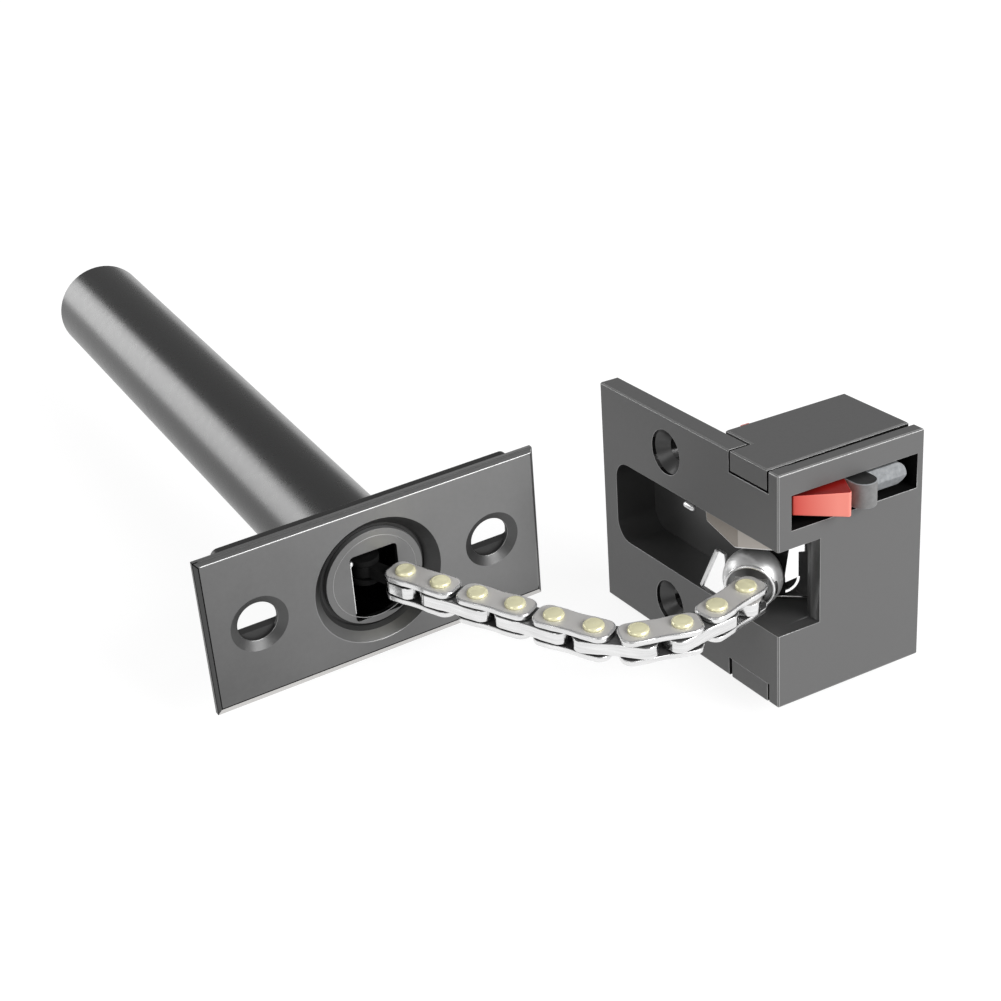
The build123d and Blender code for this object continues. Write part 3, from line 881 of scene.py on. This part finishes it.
softened("ball_head", 0.10, [turned_ball_steel, mouth_steel, link_side_steel, satin_top],
         ball_finish)
added(mouth_rim(), "mouth_rim", [rim_steel], "ball_head")
print("ball head dressed, mouth", 2 * MOUTH_R, "mm across")

# %% [markdown]
# The keeper hangs a little tilted, which would make every rule about its faces awkward.
# So the rules are told in the keeper's own square frame: x from the slotted face, y from
# the front face, z from its middle. Two small functions turn a spot and a direction into
# that frame, and one turns a spot back.

# %% The keeper's own frame
KEEPER_TURN = Euler([math.radians(a) for a in (-4.95, 2.74, 0.48)], "XYZ").to_matrix()
BALL_IN_KEEPER = Vector((3.05, 11.28, -1.89))


def in_keeper(spot):
    return KEEPER_TURN.transposed() @ (spot - BALL_CENTRE) + BALL_IN_KEEPER


def keeper_way(normal):
    return KEEPER_TURN.transposed() @ normal


def from_keeper(x, y, z):
    return KEEPER_TURN @ (Vector((x, y, z)) - BALL_IN_KEEPER) + BALL_CENTRE


def within(spot, low, high):
    return all(a < b < c for a, b, c in zip(low, spot, high))


print("ball in the keeper's frame:", tuple(BALL_IN_KEEPER))

# %% [markdown]
# The keeper is a cast and painted box. Its outside is one soft grey, with a slightly
# lighter line on the edges, which is a painted highlight. The slot and the rooms inside
# get a dark finish as painted shade, the window and the notches a nearly black one, and
# the screw holes are bare metal, made dark as painted shade.

# %% Keeper housing, case and channel box
HOLE_Y, HOLE_Z, HOLE_REACH = 34.05, 16.1, 4.6
SLOT_LOW, SLOT_HIGH = (0.05, 0.05, -8.6), (9.4, 51.7, 8.6)
WINDOW_LOW, WINDOW_HIGH = (2.9, 0.05, 11.9), (32.0, 8.5, 18.95)
CASE_ROOM_LOW, CASE_ROOM_HIGH = (5.0, 3.0, 9.6), (32.0, 19.8, math.inf)
NOTCH_X, NOTCH_Y, NOTCH_Z = (0.1, 4.3), (2.6, 15.0), 18.9
FRONT_PLATE_BACK_Y = 2.7
OUTER_Z = 23.0
SQUARE = 0.9


def housing_finish(spot, normal):
    own, way = in_keeper(spot), keeper_way(normal)
    if max(abs(way.x), abs(way.y), abs(way.z)) < SQUARE:
        # A face that looks between two axes lies on a rounded corner
        return keeper_paint if own.x < 0.3 or abs(own.z) > OUTER_Z else keeper_inside
    if math.hypot(own.y - HOLE_Y, abs(own.z) - HOLE_Z) < HOLE_REACH:
        return hole_steel
    # Painted shade: black in the window, the notches and behind the front plate, dark in the slot, on inner
    # corners and in the screw holes
    if within(own, WINDOW_LOW, WINDOW_HIGH):
        return gap_black
    if within(own, SLOT_LOW, SLOT_HIGH) and abs(way.x) < 0.95:
        return keeper_inside
    beside_notch = NOTCH_X[0] < own.x < NOTCH_X[1] and abs(own.z) > NOTCH_Z
    if beside_notch and NOTCH_Y[0] < own.y < NOTCH_Y[1]:
        return keeper_paint if own.y > 14.5 and own.z > 0 else gap_black
    if abs(own.y - FRONT_PLATE_BACK_Y) < 0.02 and own.x > 4.4:
        return gap_black
    return keeper_paint


def housing_share(spot):
    own = in_keeper(spot)
    if own.x < 0.3 and own.y > 16.0 and own.z > OUTER_Z:
        return 0.35
    return 0.0 if own.x > 0.6 and own.y > 0.6 and abs(own.z) < OUTER_Z else 1.0


def case_finish(spot, normal):
    # Painted shade: black in the case's room, dark elsewhere
    in_room = within(in_keeper(spot), CASE_ROOM_LOW, CASE_ROOM_HIGH)
    return gap_black if in_room else keeper_inside


def outside_share(spot):
    own = in_keeper(spot)
    return 0.0 if own.x < 9.3 and own.y < 51.7 and abs(own.z) < 9.0 else 1.0


softened("keeper_housing", 0.22,
         [keeper_paint, keeper_line, keeper_inside, gap_black, hole_steel],
         housing_finish, edge_finish=keeper_line, share=housing_share)
softened("keeper_case", 0.12, [keeper_inside, gap_black], case_finish, share=outside_share)
# Painted shade: the channel box is dark all over
softened("channel_box", 0.12, [keeper_inside], share=outside_share)
print("housing dressed")

# %% [markdown]
# The two covers are flush with the housing, and a narrow gap runs round them. The gap
# is black in front of each cover, and beside and behind the lower one's tab, so the
# faces that look into it there are painted black as well, as shade. The upper one's
# other gaps are thin lines, and keep the grey paint.

# %% Covers
TAB_X = 4.9
COVER_FRONT_Y = 3.6
WIDER = 0.4


def cover_finish(spot, normal):
    own, way = in_keeper(spot), keeper_way(normal)
    faces_front_gap = way.y < -SQUARE
    beside_flange = way.x < -SQUARE and own.x > 1.0
    behind_tab = own.x < TAB_X and way.y > SQUARE
    inner_side = abs(way.z) > SQUARE and abs(own.z) < 20.0
    # Painted shade: faces that look into the gaps are black
    if faces_front_gap or inner_side or (own.z < 0 and (beside_flange or behind_tab)):
        return gap_black
    return keeper_paint


def wider_gap(made):
    # The photograph shows the gap in front of each cover nearly one millimetre wide
    for vert in made.verts:
        own = in_keeper(vert.co / MM)
        if own.x > 4.8 and own.y < COVER_FRONT_Y:
            vert.co += KEEPER_TURN.col[1] * WIDER * MM


for node in ("keeper_top_cover", "keeper_bottom_cover"):
    softened(node, 0.12, [keeper_paint, keeper_line, gap_black], cover_finish,
             edge_finish=keeper_line, reshape=wider_gap)
print("covers dressed, their front gaps", WIDER, "mm wider")

# %% [markdown]
# The latch steel shows round the ball. The upper gate is one bent sheet, whose two
# halves catch the light differently, so they are painted a lighter and a darker tone,
# and a pale line of painted highlight runs round its cut edge. The lower gate is
# bright, and mirrors the white table. Both keep their solids' shapes.

# %% Gates of the latch
GATE_FOLD_Y = 12.5


def gate_finish(spot, normal):
    # Painted highlight on the cut edge, painted light and shade on the two halves
    if abs(keeper_way(normal).x) < SQUARE:
        return white_steel
    return latch_left if in_keeper(spot).y > GATE_FOLD_Y else latch_right


def sheet_finish(spot, normal):
    return mirror_steel if abs(keeper_way(normal).x) > SQUARE else turned_ball_steel


softened("gate_plate", 0.28, [latch_left, latch_right, white_steel], gate_finish,
         edge_finish=white_steel)
softened("lower_gate", 0.10, [mirror_steel, turned_ball_steel], sheet_finish)
print("latch gates dressed")

# %% [markdown]
# Four small bright things finish the latch. The pin under the slot's roof has rounded
# ends, which a turned section gives. Along the lower gate's slanted edge lies a bar. It
# could be a plain box, but its long edges catch the light, so they are rounded. The
# front strip and the wire keep their solids, with hardly any softening.

# %% Latch pin, edge bar, strip and wire
BEAN_START = (1.0, 26.3, 6.9)
BEAN_LENGTH = 3.2
BAR_START, BAR_END = (0.55, 24.0, -8.2), (0.55, 18.9, 1.3)


def bean_pin():
    ends = [(0.0, 0.0), (0.10, 0.36), (0.34, 0.58), (0.66, 0.65)]
    section = ends + [(BEAN_LENGTH - a, r) for a, r in reversed(ends)]
    return turned(section, from_keeper(*BEAN_START), KEEPER_TURN.col[1], KEEPER_TURN.col[0], 24)


def free_edge_bar():
    start, end = from_keeper(*BAR_START), from_keeper(*BAR_END)
    along, out = (end - start).normalized(), KEEPER_TURN.col[0]
    side = along.cross(out).normalized()
    made = bmesh.new()
    bmesh.ops.create_cube(made, size=1.0)
    bmesh.ops.scale(made, verts=made.verts, vec=(0.5 * MM, 0.8 * MM, (end - start).length * MM))
    bmesh.ops.bevel(made, geom=made.edges, offset=0.12 * MM, affect="EDGES",
                    segments=2, profile=0.5, material=-1)
    turn = Matrix((out, side, along)).transposed().to_4x4()
    place = Matrix.Translation((start + end) / 2 * MM) @ turn
    bmesh.ops.transform(made, matrix=place, verts=made.verts)
    bmesh.ops.recalc_face_normals(made, faces=made.faces)
    return made


added(free_edge_bar(), "lower_gate_bar", [turned_ball_steel], "lower_gate")
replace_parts(added(bean_pin(), "gate_bean_pin", [white_steel], "gate_pin"), "gate_pin")
softened("front_strip", 0.06, [mirror_steel])
softened("room_wire", 0.03, [mirror_steel])
print("latch pin, edge bar, strip and wire made")

# %% [markdown]
# The lock rocker turns on an upright pin. Its thumb wing is moulded in red, with a
# painted shade on its top and painted light growing towards its right end, its other
# wing is pale, and the grip between them has a dark top face inside a light rim.
# Mouldings have rounder edges than cut metal, so these bevels are wider.

# %% Lock rocker


def dark_top(top_finish, side_finish):
    """A rule that gives one finish to the top and another to all the rest."""
    def finish_of(spot, normal):
        return top_finish if keeper_way(normal).z > SQUARE else side_finish
    return finish_of


softened("red_latch_tail", 0.08, [thumb_red_moulding])
softened("rocker_pin", 0.1, [mirror_steel])
softened("rocker_grip", 0.35, [grip_moulding, grip_dark, pale_moulding],
         dark_top(grip_dark, grip_moulding), edge_finish=pale_moulding, segments=3)
# The red wing's top gets red_shade, a painted shade
softened("rocker_red_wing", 0.55, [thumb_red_moulding, red_shade],
         dark_top(red_shade, thumb_red_moulding), segments=4)
softened("rocker_pale_wing", 0.35, [pale_moulding], segments=3)
print("rocker dressed")

# %% [markdown]
# The floor is white for the camera and in the metal's reflections, and it keeps a faint
# shadow. A white floor lit to full white would throw too much light up. So only a part
# of that white is real light on a grey floor, and the rest is a glow that camera and
# mirror rays see, which puts no more light on the object.

# %% Floor
FLOOR_Z = cad_box[0][2] - 0.2 * MM
FLOOR_HALF = 12.0
BLACK, GLOW = (0.0, 0.0, 0.0, 1), (0.86, 0.86, 0.86, 1)


def floor_white():
    finish = Finish("studio_floor")
    path = finish.tree.nodes.new("ShaderNodeLightPath")
    camera_ray, glossy_ray, clear_ray = (
        Wire(finish.tree, path.outputs[f"Is {kind} Ray"])
        for kind in ("Camera", "Glossy", "Transmission")
    )
    seen = (camera_ray + glossy_ray + clear_ray).clamped()
    return finish.set(
        Base_Color=grey(0.25),
        Roughness=0.95,
        Emission_Color=finish.mix(seen, BLACK, GLOW),
        Emission_Strength=1.0,
    )


floor_mesh = bmesh.new()
bmesh.ops.create_grid(floor_mesh, x_segments=1, y_segments=1, size=FLOOR_HALF)
bmesh.ops.translate(floor_mesh, verts=floor_mesh.verts, vec=(0, 0, FLOOR_Z))
floor = as_piece(floor_mesh, "studio_floor", [floor_white()])
print("floor at", round(FLOOR_Z / MM, 2), "mm")

# %% [markdown]
# The light is soft: a large panel to the front right lights the plate and the keeper's
# front, a panel at the back left is there for its reflection along the tube, and a
# small one on the left lifts the slotted face. A dim even sky fills the rest. Point
# lamps would be simpler, but they make hard shadows and tiny bright dots on steel.

# %% World and lamps
SKY_STRENGTH = 0.28

world = bpy.data.worlds.new("studio")
bpy.context.scene.world = world
world.use_nodes = True
sky = world.node_tree.nodes["Background"]
sky.inputs["Color"].default_value = (1, 1, 1, 1)
sky.inputs["Strength"].default_value = SKY_STRENGTH


def lamp(name, spot, aim, width, height, power):
    light = bpy.data.lights.new(name, "AREA")
    light.shape = "RECTANGLE"
    light.size = width
    light.size_y = height
    light.energy = power
    holder = bpy.data.objects.new(name, light)
    bpy.context.collection.objects.link(holder)
    away = (Vector(spot) - Vector(aim)).normalized()
    facing = away.to_track_quat("Z", "Y").to_matrix().to_4x4()
    holder.matrix_world = Matrix.Translation(Vector(spot)) @ facing


lamp("front_panel", (0.35, -0.75, 0.45), (0.03, 0, 0), 0.6, 0.5, 9.0)
lamp("tube_panel", (-0.54, 0.86, 0.25), (0, 0.07, 0), 0.70, 0.54, 4.4)
lamp("left_panel", (-0.8, -0.3, 0.5), (0.03, 0, 0), 0.4, 0.4, 1.4)
bpy.context.scene.view_settings.view_transform = "Standard"
print("lamps lit:", len(bpy.data.lights))
